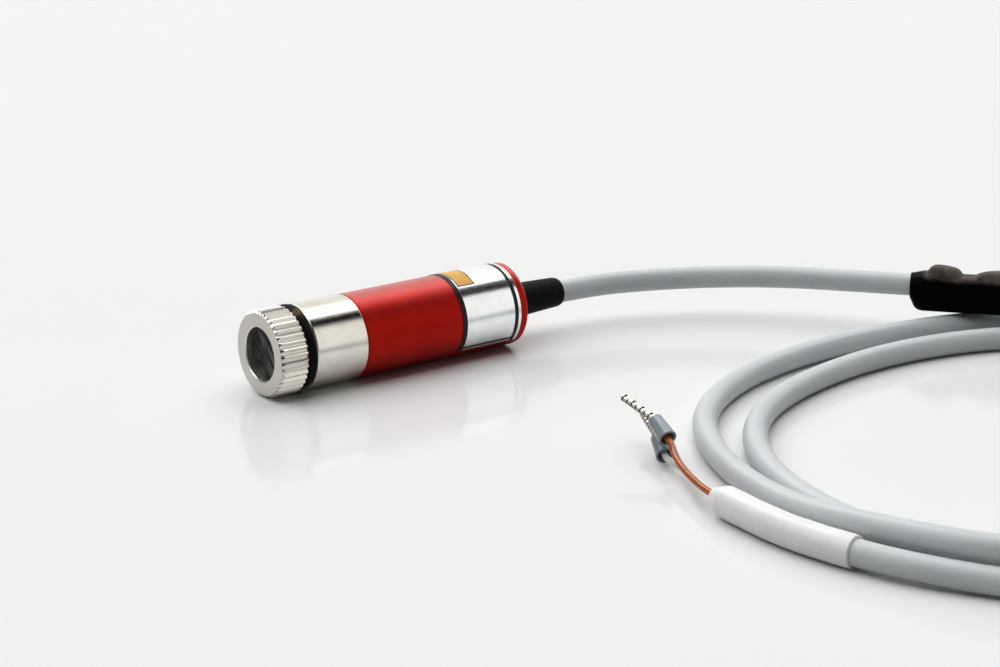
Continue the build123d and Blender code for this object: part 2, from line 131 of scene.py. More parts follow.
class Finish:
    """One material under way: its tree, its Object coordinates and what its surface shader is given."""

    def __init__(self, name):
        self.material = bpy.data.materials.new(name)
        self.material.use_nodes = True
        self.tree = self.material.node_tree
        self.tree.nodes.clear()
        self.start = Shade(self.tree)
        self.place = self.start.node("ShaderNodeTexCoord", output=3)

    def parts(self):
        """Object coordinates as three values, in metres."""
        split = self.start.node("ShaderNodeSeparateXYZ", sockets={0: self.place})
        return [Shade(self.tree, socket) for socket in split.socket.node.outputs]

    def about_axis(self):
        """Station in mm from the ring's front face, and degrees round the axis from the near side over the top."""
        x, y, z = self.parts()
        angle = (z - AXIS_Z * MM).math("ARCTAN2", 0 - y) * math.degrees(1)
        return x / MM - FRONT_X, angle

    def stretched(self, scale):
        """Object coordinates with each axis scaled, so that a pattern is drawn out along the smaller one."""
        return self.start.node("ShaderNodeMapping", sockets={"Vector": self.place, "Scale": scale})

    def noise(self, scale, detail=3.0, roughness=0.55, vector=None):
        """Noise around 0.5; the scale is in features for each metre."""
        inputs = {"Vector": vector or self.place, "Scale": scale, "Detail": detail, "Roughness": roughness}
        return self.start.node("ShaderNodeTexNoise", sockets=inputs)

    def bump(self, height, strength, depth):
        """A Bump node: relief of that depth in metres."""
        return self.start.node(
            "ShaderNodeBump", sockets={"Height": height, "Strength": strength, "Distance": depth}
        )

    def surface(self, **sockets):
        """Ends the material in one Principled shader; a socket's name is written with _ for its spaces."""
        named = {key.replace("_", " "): value for key, value in sockets.items()}
        for key in ("Base Color", "Coat Tint", "Sheen Tint", "Emission Color"):
            if key in named:
                named[key] = colour(named[key])
        shader = self.start.node("ShaderNodeBsdfPrincipled", sockets=named)
        self.start.node("ShaderNodeOutputMaterial", sockets={"Surface": shader})
        return self.material


def plated_nickel():
    """Bright nickel on turned brass: fine pits, faint lathe lines round the axis and a warm tint."""
    finish = Finish("plated_nickel")
    grain = finish.noise(7000.0, detail=2.0)
    lathe = finish.noise(1.0, vector=finish.stretched((9000.0, 60.0, 60.0)))
    cloud = finish.noise(260.0)
    tint = cloud.step(0.35, 0.65).mix((0.69, 0.665, 0.595), (0.75, 0.725, 0.66))
    return finish.surface(
        Base_Color=tint,
        Metallic=1.0,
        Roughness=0.08 + grain * 0.10 + lathe * 0.04,
        Normal=finish.bump(grain * 0.8 + lathe * 0.2, 1.0, 0.00002),
    )


def ring_nickel():
    """Nickel of the focus ring: a dull front face, and bevelled tooth ends painted nearly black on one arc of the
    near side, a painted dark reflection.

    A tooth's end lies on the bevel's cone, whose radius grows with the station, and the notches lie under it.
    """
    finish = Finish("ring_nickel")
    station, angle = finish.about_axis()
    y, z = finish.parts()[1:]
    radius = (y * y + (z - AXIS_Z * MM).math("POWER", 2.0)).math("SQRT") / MM
    cone_foot = RING_RADIUS - BEVEL_DEPTH
    over_cone = radius - station * (BEVEL_DEPTH / BEVEL_LENGTH)
    on_cone = over_cone.step(cone_foot - 0.05, cone_foot - 0.02)
    # Painted dark reflection: the tooth ends on the bevel turn nearly black only on this arc of the near side
    painted_dark_tooth_ends = on_cone * station.band(0.03, BEVEL_LENGTH, 0.03) * angle.band(-9.0, 37.5, 2.0)
    grain = finish.noise(5200.0, detail=2.0)
    cloud = finish.noise(300.0)
    face = station.step(0.05, 0.03)
    tint = cloud.step(0.35, 0.65).mix((0.68, 0.66, 0.59), (0.76, 0.74, 0.675))
    dull = face.mix(tint, (0.62, 0.60, 0.55))
    return finish.surface(
        Base_Color=painted_dark_tooth_ends.mix(dull, (0.006, 0.006, 0.005)),
        Metallic=1.0,
        Roughness=0.26 + grain * 0.12,
        Normal=finish.bump(grain, 0.3, 0.000012),
    )


def red_anodised():
    """Dyed oxide on bead-blasted aluminium: a fine even grain, and a clear coat on its upper side only, seen edge-on,
    as a painted highlight that pales the top.
    """
    finish = Finish("red_anodised")
    angle = finish.about_axis()[1]
    grain = finish.noise(6500.0, detail=2.0)
    cloud = finish.noise(160.0)
    edgewise = finish.start.node("ShaderNodeLayerWeight", sockets={"Blend": 0.5}, output=1)
    # Painted highlight: the clear coat lies only on the upper side and shows edge-on, so that the top turns pale
    top_highlight_coat = edgewise.step(0.2, 0.6) * angle.band(30.0, 150.0, 50.0)
    tint = cloud.step(0.3, 0.7).mix((0.34, 0.008, 0.0045), (0.38, 0.011, 0.007))
    return finish.surface(
        Base_Color=tint,
        Metallic=1.0,
        Roughness=0.42 + grain * 0.1,
        Coat_Weight=top_highlight_coat,
        Coat_Roughness=0.38,
        Coat_Tint=(1.0, 0.96, 0.92),
        Normal=finish.bump(grain, 0.3, 0.000015),
    )


def black_rubber():
    """Moulded rubber: matt and finely pitted, with painted brown reflections, broken up by noise, on the seal above
    and below its near side.
    """
    finish = Finish("black_rubber")
    station, angle = finish.about_axis()
    pits = finish.noise(3800.0, detail=4.0, roughness=0.7)
    patch = finish.noise(900.0)
    # Painted reflection: brown patches on two arcs of the seal, above and below its near side
    painted_reflection_arcs = angle.band(63.0, 76.0, 8.0) + angle.band(-66.0, -48.0, 10.0)
    painted_brown_reflection = (patch * 0.5 + pits * 0.5).step(0.36, 0.56) * painted_reflection_arcs * station.step(7.0, 6.0)
    speck = pits.step(0.5, 0.75).mix((0.0015, 0.0015, 0.0017), (0.022, 0.022, 0.021))
    return finish.surface(
        Base_Color=painted_brown_reflection.mix(speck, (0.17, 0.115, 0.075)),
        Roughness=0.46 + pits * 0.3,
        Specular_IOR_Level=0.06,
        Sheen_Weight=1.0,
        Sheen_Roughness=0.2,
        Normal=finish.bump(pits, 0.8, 0.00008),
    )


def label_foil():
    """Silver foil with a printed black border and a plain amber field; fine ribs run round the tube."""
    finish = Finish("label_foil")
    station, angle = finish.about_axis()
    ribs = finish.noise(1.0, vector=finish.stretched((7000.0, 300.0, 300.0)))
    crease = finish.noise(500.0)
    blur, blur_turn = 0.06, 0.6
    rear_line = station.band(39.0, 39.64, blur)
    lower_line = angle.band(-38.5, -34.5, blur_turn)
    front_line = station.band(29.0, 30.65, blur)
    inside = station.band(29.0, 39.64, blur)
    ink = front_line.math("MAXIMUM", rear_line).math("MAXIMUM", lower_line * inside)
    field = station.band(30.95, 33.6, blur) * angle.band(57.0, 112.0, blur_turn)
    edge = station.band(30.75, 33.8, blur) * angle.band(55.3, 113.7, blur_turn)
    silver = crease.step(0.3, 0.7).mix((0.84, 0.85, 0.86), (0.90, 0.91, 0.91))
    print_black = ink.math("MAXIMUM", edge)
    tint = field.mix(print_black.mix(silver, (0.005, 0.005, 0.006)), (0.78, 0.42, 0.10))
    covered = print_black.math("MAXIMUM", field)
    return finish.surface(
        Base_Color=tint,
        Metallic=1.0 - covered,
        Roughness=0.15 + ribs * 0.08 + covered * 0.2,
        Specular_IOR_Level=0.2,
        Normal=finish.bump(ribs * 0.5 + crease, 0.3, 0.00002),
    )


def cable_grey():
    """Extruded grey PVC: satin, with faint bloom and a very fine skin."""
    finish = Finish("cable_grey")
    skin = finish.noise(4200.0, detail=3.0)
    bloom = finish.noise(140.0)
    tint = bloom.step(0.3, 0.7).mix((0.555, 0.59, 0.605), (0.595, 0.625, 0.635))
    return finish.surface(
        Base_Color=tint,
        Roughness=0.34 + skin * 0.14 + bloom * 0.08,
        Normal=finish.bump(skin, 0.25, 0.00003),
    )


def shrunk_black():
    """Black shrunk tubing over hard parts: waxy, nearly black, with a painted brownish grey highlight on its higher
    parts, broken up by noise, but not at its near end.
    """
    finish = Finish("shrink_black")
    x, y, z = finish.parts()
    waves = finish.noise(420.0, detail=2.0)
    skin = finish.noise(5200.0, detail=3.0)
    onward = (x * UNIT_WAY[0] + y * UNIT_WAY[1]) / MM
    # Painted highlight: the higher parts turn brownish grey, from the unit's near end onwards
    high = (z / MM + waves * 0.6).step(8.5, 9.6) * onward.step(68.0, 69.0)
    painted_top_highlight = high * (skin * 0.4 + waves * 0.6).step(0.28, 0.68)
    return finish.surface(
        Base_Color=painted_top_highlight.mix((0.0008, 0.0008, 0.0009), (0.15, 0.128, 0.108)),
        Roughness=0.34 + skin * 0.2,
        Specular_IOR_Level=0.02,
        Normal=finish.bump(waves + skin * 0.15, 0.35, 0.0001),
    )


def shrunk_white():
    """White shrunk tubing: satin, drawn tight, with slight waves over what it covers."""
    finish = Finish("shrink_white")
    waves = finish.noise(420.0, detail=2.0)
    skin = finish.noise(5200.0, detail=3.0)
    tint = waves.step(0.3, 0.7).mix((0.84, 0.84, 0.832), (0.89, 0.89, 0.882))
    return finish.surface(
        Base_Color=tint,
        Roughness=0.32 + skin * 0.12,
        Normal=finish.bump(waves + skin * 0.03, 0.3, 0.00004),
    )


def core_insulation(name, low, high):
    """Glossy extruded insulation of one core, slightly uneven in colour and skin."""
    finish = Finish(name)
    skin = finish.noise(900.0, detail=3.0)
    tint = skin.step(0.3, 0.7).mix(low, high)
    return finish.surface(
        Base_Color=tint,
        Roughness=0.08 + skin * 0.1,
        Specular_IOR_Level=0.35,
        Normal=finish.bump(skin, 0.15, 0.00003),
    )


def moulded(name, low, high, rough=0.35):
    """Moulded plastic or a board part: slightly uneven colour and skin."""
    finish = Finish(name)
    skin = finish.noise(2600.0, detail=4.0)
    tint = skin.step(0.3, 0.7).mix(low, high)
    return finish.surface(
        Base_Color=tint,
        Roughness=rough + skin * 0.15,
        Normal=finish.bump(skin, 0.2, 0.00003),
    )


def bare_metal(name, low, high, rough=0.25):
    """Metal with a fine grain and slightly uneven tarnish."""
    finish = Finish(name)
    grain = finish.noise(4200.0, detail=3.0)
    tarnish = finish.noise(700.0)
    tint = tarnish.step(0.3, 0.7).mix(low, high)
    return finish.surface(
        Base_Color=tint,
        Metallic=1.0,
        Roughness=rough + grain * 0.15,
        Normal=finish.bump(grain, 0.3, 0.00002),
    )


def crimped_tin(name, end, direction):
    """Tinned copper tube: bright, with painted shade at the edges of its crimp notches and painted shade darkening
    its underside.

    The distance back from the tube's end and the height over its line are both sums of the coordinates, each
    times one part of a unit vector.
    """
    finish = Finish(name)
    place = finish.parts()
    axis, _, up = across(np.array(direction))
    back, high = (
        sum(value * float(part / MM) for value, part in zip(place, way)) - float(np.dot(end, way))
        for way in (-axis, up)
    )
    notch = ((back / CRIMP_PITCH).math("FRACT") - 0.5).math("ABSOLUTE") * CRIMP_PITCH
    # Painted shade: the edges of the crimp notches turn dark
    edge = notch.band(0.29, 0.52, 0.06)
    # Painted shade: the tube darkens towards its underside
    under = high.step(0.14, -0.12)
    grain = finish.noise(3000.0, detail=3.0)
    tint = grain.step(0.3, 0.7).mix((0.74, 0.75, 0.68), (0.82, 0.825, 0.77))
    tint_with_painted_shade = under.mix(tint, (0.20, 0.20, 0.14))
    return finish.surface(
        Base_Color=edge.mix(tint_with_painted_shade, (0.03, 0.028, 0.018)),
        Metallic=0.65,
        Roughness=0.28 + grain * 0.12,
        Normal=finish.bump(grain, 0.2, 0.00001),
    )


def line_optic():
    """Dark ridged plate: grey streaks along the ridges over near black, under a weak gloss."""
    finish = Finish("line_optic")
    x, y, z = finish.parts()
    z = z - AXIS_Z * MM
    cos, sin = math.cos(math.radians(RIDGE_TURN)), math.sin(math.radians(RIDGE_TURN))
    over, run = y * cos - z * sin, y * sin + z * cos
    drawn = finish.start.node("ShaderNodeCombineXYZ", sockets={0: x * 400.0, 1: over * 3400.0, 2: run * 240.0})
    streaks = finish.noise(1.0, detail=5.0, vector=drawn)
    patch = finish.noise(420.0)
    pale = streaks.step(0.36, 0.68) * patch.step(0.3, 0.6)
    return finish.surface(
        Base_Color=pale.mix((0.003, 0.003, 0.0035), (0.17, 0.16, 0.15)),
        Roughness=0.22 + streaks * 0.25,
        Specular_IOR_Level=0.12,
        Normal=finish.bump(streaks, 0.3, 0.00005),
    )


finishes = {
    "nickel": plated_nickel(),
    "red_anodised": red_anodised(),
    "black_rubber": black_rubber(),
    "label_foil": label_foil(),
    "optic": line_optic(),
    "brass": bare_metal("brass", (0.62, 0.42, 0.16), (0.72, 0.52, 0.22)),
    "gilt": bare_metal("gilt", (0.72, 0.52, 0.20), (0.83, 0.62, 0.27), 0.18),
    "spring_steel": bare_metal("spring_steel", (0.46, 0.46, 0.47), (0.58, 0.58, 0.58)),
    "polymer": moulded("polymer", (0.58, 0.57, 0.53), (0.66, 0.65, 0.61)),
    "board_green": moulded("board_green", (0.02, 0.13, 0.05), (0.03, 0.18, 0.07)),
    "chip_black": moulded("chip_black", (0.012, 0.012, 0.013), (0.025, 0.025, 0.026)),
    "chip_tan": moulded("chip_tan", (0.36, 0.24, 0.12), (0.45, 0.31, 0.16)),
    "trimmer_blue": moulded("trimmer_blue", (0.02, 0.08, 0.30), (0.03, 0.11, 0.38)),
    "tinned": bare_metal("tinned", (0.74, 0.73, 0.70), (0.84, 0.83, 0.80), 0.1),
    "cable_grey": cable_grey(),
    "shrink_black": shrunk_black(),
    "shrink_white": shrunk_white(),
    "core_brown": core_insulation("core_brown", (0.36, 0.075, 0.008), (0.46, 0.11, 0.014)),
    "core_white": core_insulation("core_white", (0.80, 0.79, 0.77), (0.86, 0.85, 0.83)),
    "collar_grey": moulded("collar_grey", (0.22, 0.27, 0.31), (0.27, 0.32, 0.36), 0.06),
}

for row in frame["record"]["subparts"]:
    for place in frame["nodes"][row["node"]].material_slots:
        place.material = finishes[row["material_slot"]]


def rounded(corners, reach, steps=3):
    """A closed outline whose corners are rounded: each becomes the curve (1-t)^2 a + 2t(1-t) corner + t^2 b.

    The points a and b lie on the two runs that meet there, as far from the corner as the reach says but at most
    0.35 of the shorter run, and one more point stands a little further out on each run.
    """
    corners = np.array(corners, float)
    runs = np.roll(corners, -1, axis=0) - corners
    lengths = np.linalg.norm(runs, axis=1, keepdims=True)
    after = runs / lengths
    before = -np.roll(after, 1, axis=0)
    shorter = np.minimum(lengths, np.roll(lengths, 1, axis=0))
    reach = np.minimum(np.full(len(corners), reach)[:, None], 0.35 * shorter)
    t = np.linspace(0.0, 1.0, steps + 1)[:, None]
    first, last = (corners + reach * before)[:, None], (corners + reach * after)[:, None]
    curve = (1 - t) ** 2 * first + 2 * t * (1 - t) * corners[:, None] + t**2 * last
    outer = (corners + 1.35 * reach * before)[:, None], (corners + 1.35 * reach * after)[:, None]
    return np.concatenate([outer[0], curve, outer[1]], axis=1).reshape(-1, 2)


def across(axis):
    """Unit vectors along each axis, level across it and up from it."""
    axis = axis / np.linalg.norm(axis, axis=-1, keepdims=True)
    side = np.cross((0.0, 0.0, 1.0), axis)
    side = side / np.linalg.norm(side, axis=-1, keepdims=True)
    return axis, side, np.cross(axis, side)


def turned(station, radius, angle, origin=(FRONT_X, 0.0, AXIS_Z), axis=(1.0, 0.0, 0.0)):
    """Rows of points round an axis: station along it, -radius cos(angle) across it, radius sin(angle) up."""
    ahead, side, up = across(np.array(axis, float))
    about = np.sin(angle)[:, None] * up - np.cos(angle)[:, None] * side
    radius = np.broadcast_to(np.reshape(radius, (len(station), -1)), (len(station), len(angle)))
    return origin + station[:, None, None] * ahead + radius[..., None] * about


def circle(columns):
    """Evenly spaced angles of one full turn."""
    return np.linspace(0.0, 2 * np.pi, columns, endpoint=False)


def shell(grid, capped=False):
    """Vertices and faces of rows of points whose columns close round; the rows close too, or end in two fans.

    The sum of p0 . (p1 x p2) over all triangles is six times the volume, and its sign tells which side is out.
    """
    rows, columns = grid.shape[:2]
    index = np.arange(rows * columns).reshape(rows, columns)
    index = np.c_[index, index[:, :1]]
    vertices = grid.reshape(-1, 3)
    fans = []
    if capped:
        vertices = np.r_[vertices, grid[:1].mean(axis=1), grid[-1:].mean(axis=1)]
        start, end = np.full(columns, rows * columns), np.full(columns, rows * columns + 1)
        fans.append(np.stack([index[0, :-1], index[0, 1:], start], axis=-1))
        fans.append(np.stack([index[-1, 1:], index[-1, :-1], end], axis=-1))
    else:
        index = np.r_[index, index[:1]]
    quads = np.stack([index[:-1, :-1], index[1:, :-1], index[1:, 1:], index[:-1, 1:]], axis=-1).reshape(-1, 4)
    triangles = np.concatenate([quads[:, :3], quads[:, [0, 2, 3]], *fans])
    p0, p1, p2 = (vertices[triangles[:, i]] for i in range(3))
    outward = np.sum(p0 * np.cross(p1, p2)) > 0
    return vertices, [part if outward else part[:, ::-1] for part in (quads, *fans)]


def piece(name, shape, body, slot, nodes=(), finish=None):
    """One finished piece: a mesh that rides on a body in place of its nodes, with its sharp edges kept sharp."""
    vertices, parts = shape
    mesh = bpy.data.meshes.new(name)
    mesh.from_pydata((vertices * MM).tolist(), [], [face for part in parts for face in part.tolist()])
    mesh.shade_smooth()
    mesh.set_sharp_from_angle(angle=math.radians(SHARP_ANGLE))
    mesh.materials.append(finish or finishes[slot])
    made = bpy.data.objects.new(name, mesh)
    bpy.context.scene.collection.objects.link(made)
    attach(made, body)
    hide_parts(*nodes)
    return made


def turned_piece(name, node, slot, corners, reach, columns=160):
    """A turned piece of the module in place of one node, from its outline of (station, radius) corners."""
    station, radius = rounded(corners, reach).T
    shape = shell(turned(station, radius, circle(columns)))
    return piece(name, shape, "module", slot, [node])


def knurled_ring():
    """Focus ring: its outline carried round the axis, and its head cut back to pointed teeth.

    With s the distance round the rim from the nearest tooth's crest, the cut is the depth times
    (sqrt(s^2 + blunt^2) - blunt) over the flank's width, and at most the whole depth. The radius is at most the
    head's radius less this cut.
    """
    length, stem, teeth, blunt, flank = 4.2, 4.45, 40, 0.03, 0.36
    corners = [
        (0.0, 3.9), (0.0, 5.2), (0.0, RING_RADIUS - BEVEL_DEPTH), (BEVEL_LENGTH, RING_RADIUS),
        (length - EDGE, RING_RADIUS), (length, RING_RADIUS - EDGE), (length, 5.4), (length, stem),
        (11.0, stem), (11.0, 3.3), (8.75, 3.3), (8.75, 2.9), (2.3, 2.9), (2.3, 3.75), (0.15, 3.75),
    ]
    reach = np.full(len(corners), 0.05)
    reach[2:4] = 0.015
    station, radius = rounded(corners, reach, steps=2).T
    half = np.array([0.0, 0.02, 0.05, 0.1, 0.2, 0.3, 0.36, 0.39, 0.42])
    offset = np.r_[-half[:0:-1], half] / RING_RADIUS
    angle = (2 * np.pi / teeth * np.arange(teeth)[:, None] + offset).ravel()
    s = np.tile(offset * RING_RADIUS, teeth)
    cut = BEVEL_DEPTH * np.minimum((np.sqrt(s**2 + blunt**2) - blunt) / flank, 1.0)
    shape = shell(turned(station, np.minimum(radius[:, None], RING_RADIUS - cut), angle))
    return piece("focus_ring_body", shape, "focus", "nickel", ["focus_ring"], ring_nickel())


def ridged_lens():
    """Line lens: a round plate, its front a row of ridges x = front + height (2u)^2 with u from -1/2 to 1/2 each.

    Each row is one cut through the plate across the ridges' direction, as wide as the chord there.
    """
    radius, ridges, ridge, front, back, rim = 3.7, 11, 0.12, 1.1, 2.3, 0.9995
    u = np.linspace(-0.5, 0.5, 9)
    place = (np.arange(ridges)[:, None] + 0.5 + u[:-1]).ravel() / ridges * 2 - 1
    place = np.r_[-rim, place[1:], rim] * radius
    height = np.r_[np.tile(ridge * (2 * u[:-1]) ** 2, ridges), ridge]
    chord = np.sqrt(radius**2 - place**2)
    ends = np.array([1.0, 0.94, 0.0, -0.94, -1.0])
    lengthways = chord[:, None] * np.r_[ends, -ends]
    depth = np.c_[np.tile((front + height)[:, None], 5), np.full((len(place), 5), back)]
    turn = math.radians(RIDGE_TURN)
    y = lengthways * math.sin(turn) + place[:, None] * math.cos(turn)
    z = lengthways * math.cos(turn) - place[:, None] * math.sin(turn)
    grid = np.stack([FRONT_X + depth, y, AXIS_Z + z], axis=-1)
    return piece("line_lens_plate", shell(grid, capped=True), "focus", "optic", ["line_lens"])


def foil_label():
    """Label: its flat section of (station, radius) carried from -44 to 224 degrees, with both ends closed."""
    station, radius = rounded([(29.9, 6.01), (29.9, 6.07), (40.1, 6.07), (40.1, 6.01)], 0.02, steps=2).T
    angle = np.radians(np.linspace(-44.0, 224.0, 181))
    grid = turned(station, radius, angle).transpose(1, 0, 2)
    return piece("label_sheet", shell(grid, capped=True), "module", "label_foil", ["label"])


knurled_ring()
ridged_lens()
turned_piece(
    "seal", "o_ring", "black_rubber",
    [(4.25, THREAD_RADIUS), (4.25, 6.11), (5.65, 6.11), (5.65, THREAD_RADIUS)],
    0.45,
)
turned_piece(
    "nose", "front_barrel", "nickel",
    [
        (5.7, THREAD_RADIUS), (5.7, BODY_RADIUS - EDGE), (5.7 + EDGE, BODY_RADIUS), (NOSE_BACK - EDGE, BODY_RADIUS),
        (NOSE_BACK, BODY_RADIUS - EDGE), (NOSE_BACK, 5.35), (19.0, 5.35), (19.0, 4.75), (14.15, 4.75),
        (14.15, THREAD_RADIUS),
    ],
    0.04,
)
turned_piece(
    "tube", "body_tube", "red_anodised",
    [
        (NOSE_BACK, 5.4), (NOSE_BACK, BODY_RADIUS - EDGE), (NOSE_BACK + EDGE, BODY_RADIUS), (TUBE_BACK, BODY_RADIUS),
        (TUBE_BACK, 2.05), (39.9, 2.05), (39.9, 5.4),
    ],
    [0.03, 0.04, 0.04, 0.5, 0.05, 0.05, 0.05],
)
foil_label()
turned_piece(
    "boot", "strain_relief", "black_rubber",
    [
        (38.6, CABLE_BORE), (38.6, 2.9), (39.85, 2.9), (39.85, 2.0), (TUBE_BACK + 0.05, 2.0),
        (TUBE_BACK + 0.05, 2.58), (50.6, 2.18), (51.1, 2.04), (51.3, 1.82), (51.3, CABLE_BORE),
    ],
    [0.05, 0.1, 0.1, 0.05, 0.05, 0.12, 0.2, 0.1, 0.02, 0.02],
    columns=96,
)


# Lead: the route's points in millimetres, the same as the CAD cord's, through the in-line unit to the sleeve
LEAD_ROUTE = [
    (12.3, 0.0, 6.12),
    (30.55, 0.0, 6.12),
    (40.0, -3.3, 6.22),
    (48.8, -8.5, 6.45),
    (57.2, -16.2, 6.75),
    (63.97, -25.9, 7.07),
    (69.55, -32.96, 7.18),
    (85.05, -52.58, 7.51),
    (90.32, -59.25, 7.62),
    (96.6, -68.2, 5.6),
    (100.4, -80.5, 2.4),
    (97.4, -95.0, 1.65),
    (84.0, -110.2, 1.65),
    (66.5, -120.2, 1.65),
    (46.5, -123.6, 1.65),
    (27.6, -119.6, 1.65),
    (13.4, -109.6, 1.65),
    (5.3, -95.2, 1.65),
    (3.9, -79.6, 1.65),
    (8.8, -63.2, 1.65),
    (19.8, -50.0, 1.65),
    (35.6, -42.9, 1.65),
    (54.0, -40.6, 1.65),
    (71.5, -44.2, 1.65),
    (86.0, -54.4, 1.65),
    (93.6, -70.5, 1.65),
    (92.4, -88.0, 1.65),
    (82.4, -102.6, 1.65),
    (66.0, -112.2, 1.65),
    (48.5, -116.8, 2.9),
    (32.5, -119.4, 5.5),
    (17.6, -116.4, 5.4),
    (6.2, -106.8, 4.72),
    (1.2, -93.8, 4.3),
    (0.4, -78.6, 2.3),
    (4.3, -61.8, 1.65),
    (13.6, -46.0, 1.65),
    (28.6, -36.5, 1.65),
    (47.0, -33.1, 1.65),
    (65.5, -34.6, 1.65),
    (83.5, -40.8, 1.65),
    (98.5, -53.0, 1.65),
    (106.6, -70.5, 1.65),
    (106.2, -90.0, 1.65),
    (97.6, -108.4, 1.65),
    (82.6, -122.0, 1.65),
    (63.5, -129.8, 1.65),
    (43.0, -130.8, 1.65),
    (23.6, -125.6, 1.65),
    (8.4, -113.4, 1.65),
    (-0.95, -99.1, 2.05),
    (-4.15, -86.3, 2.05),
    (-4.6, -78.6, 2.05),
    (-3.95, -71.6, 2.05),
]

# Cores: each route's points from the sleeve to its ferrule's mouth, and the way its bent ferrule tube points
BROWN_ROUTE = [
    (-4.35, -71.55, 2.33),
    (-3.96, -67.9, 2.33),
    (-2.5, -63.4, 2.35),
    (-0.95, -59.5, 2.5),
    (0.5, -56.6, 3.0),
    (1.07, -55.5, 3.615),
    (1.27, -54.55, 4.0),
]
WHITE_ROUTE = [
    (-3.5, -71.55, 1.95),
    (-3.11, -67.37, 1.95),
    (-1.14, -63.4, 1.6),
    (1.05, -58.55, 1.1),
    (1.4, -54.33, 1.09),
    (1.76, -53.55, 1.35),
]
BROWN_TIP = (-0.062, 0.969, 0.239)
WHITE_TIP = (0.365, 0.912, 0.187)


def route_curve(name, route, radius, resolution=14):
    """A smooth NURBS spline with the route's points as its control points; a radius rounds it to a cord."""
    curve = bpy.data.curves.new(name, "CURVE")
    curve.dimensions = "3D"
    spline = curve.splines.new("NURBS")
    spline.points.add(len(route) - 1)
    flat = np.c_[np.array(route) * MM, np.ones(len(route))]
    spline.points.foreach_set("co", flat.ravel())
    spline.order_u = 3
    spline.use_endpoint_u = True
    curve.resolution_u = resolution
    curve.bevel_depth = radius * MM
    curve.bevel_resolution = 7
    curve.use_fill_caps = radius > 0
    made = bpy.data.objects.new(name, curve)
    bpy.context.scene.collection.objects.link(made)
    return made


def route_points(route, resolution=14):
    """Points along a route's spline in mm, read from a curve without thickness that is taken away again."""
    line = route_curve("line", route, 0.0, resolution)
    bpy.context.view_layer.update()
    mesh = bpy.data.meshes.new_from_object(line.evaluated_get(bpy.context.evaluated_depsgraph_get()))
    points = np.empty(3 * len(mesh.vertices))
    mesh.vertices.foreach_get("co", points)
    bpy.data.meshes.remove(mesh)
    bpy.data.objects.remove(line)
    return points.reshape(-1, 3) / MM


def loops(centres, radius, columns, clip=None):
    """One round row of points about each centre, across the line's direction there.

    Each point is centre - radius cos(angle) side + radius sin(angle) up; the clip limits how far it stands up or
    down.
    """
    tangent = np.gradient(centres, axis=0)
    side, up = across(tangent)[1:]
    angle = circle(columns)
    radius = np.broadcast_to(radius, (len(centres),))[:, None]
    high = radius * np.sin(angle)
    if clip is not None:
        high = np.clip(high, -clip[:, None], clip[:, None])
    return centres[:, None] - (radius * np.cos(angle))[..., None] * side[:, None] + high[..., None] * up[:, None]


def along(points):
    """Distance of each point from the first along the line."""
    return np.r_[0.0, np.cumsum(np.linalg.norm(np.diff(points, axis=0), axis=1))]


def straight(start, direction, lengths):
    """Points at these distances from a start along one direction."""
    direction = np.array(direction) / np.linalg.norm(direction)
    return np.array(start) + np.array(lengths)[:, None] * direction


def inline_unit():
    """Converter on the lead: sections carried along its axis, then back through a round bore for the cable.

    A section's radius at an angle is (|cos/side|^n + |sin/height|^n)^(-1/n), for the body and for the parts that
    stand out on top of it, with n from 2 at the round ends to 3.6 between them. The two radii a and b are joined as
    (a + b + sqrt((a - b)^2 + 0.12^2)) / 2 - 0.02.
    """
    start, end = np.array(LEAD_ROUTE[6]), np.array(LEAD_ROUTE[7])
    axis, side, up = across(end - start)
    overlap = 2.5
    s = np.linspace(0.0, np.linalg.norm(end - start) + 2 * overlap, 241)
    angle = circle(96)
    cos, sin = np.abs(np.cos(angle)), np.abs(np.sin(angle))
    power = np.interp(s, [0.0, 0.4, 2.0, 28.0, 29.6, 30.0], [2.0, 2.1, 3.6, 3.6, 2.1, 2.0])[:, None]

    def sizes(*pairs):
        """One size for each row, on lines through (distance, size) pairs and smoothed by a running mean."""
        line = np.interp(s, *np.array(pairs).T)
        return np.convolve(np.pad(line, 2, mode="edge"), np.ones(5) / 5, mode="valid")[:, None]

    def section(wide, high):
        """A section's radius at each angle, from its half width and its height."""
        return ((cos / wide) ** power + (sin / high) ** power) ** (-1 / power)

    top = sizes(
        (0.0, 1.78), (0.5, 1.84), (1.6, 2.0), (2.4, 2.05), (4.0, 1.8), (26.0, 1.8), (27.6, 2.05), (30.0, 1.78)
    )
    bump = sizes(
        (1.8, 0.9), (2.3, 2.05), (2.75, 2.75), (3.3, 3.1), (4.0, 3.18), (5.4, 3.05), (6.5, 2.82), (7.1, 2.45),
        (7.5, 1.8), (7.7, 0.9), (8.7, 0.9), (9.1, 1.75), (10.0, 2.25), (11.2, 2.58), (12.6, 2.72), (16.2, 2.6),
        (17.3, 2.1), (17.8, 0.9),
    )
    foot = sizes(
        (0.0, 1.85), (0.15, 2.3), (0.5, 3.2), (1.0, 3.6), (1.5, 3.7), (28.5, 3.7), (29.5, 3.2), (30.0, 1.85)
    )
    wide = sizes((0.0, 1.85), (0.4, 2.02), (1.7, 2.25), (28.3, 2.25), (29.6, 2.02), (30.0, 1.85))
    above, stands, below = section(wide, top), section(1.68, bump), section(wide, foot)
    joined = (above + stands + np.sqrt((above - stands) ** 2 + 0.12**2)) / 2 - 0.02
    radius = np.where(np.sin(angle) > 0.05, joined, below)
    centres = start + (s - overlap)[:, None] * axis
    about = np.sin(angle)[:, None] * up - np.cos(angle)[:, None] * side
    inside = centres[::-80, None] + CABLE_BORE * about
    grid = np.concatenate([centres[:, None] + radius[..., None] * about, inside])
    return piece("converter", shell(grid), "module", "shrink_black", ["inline_unit"])


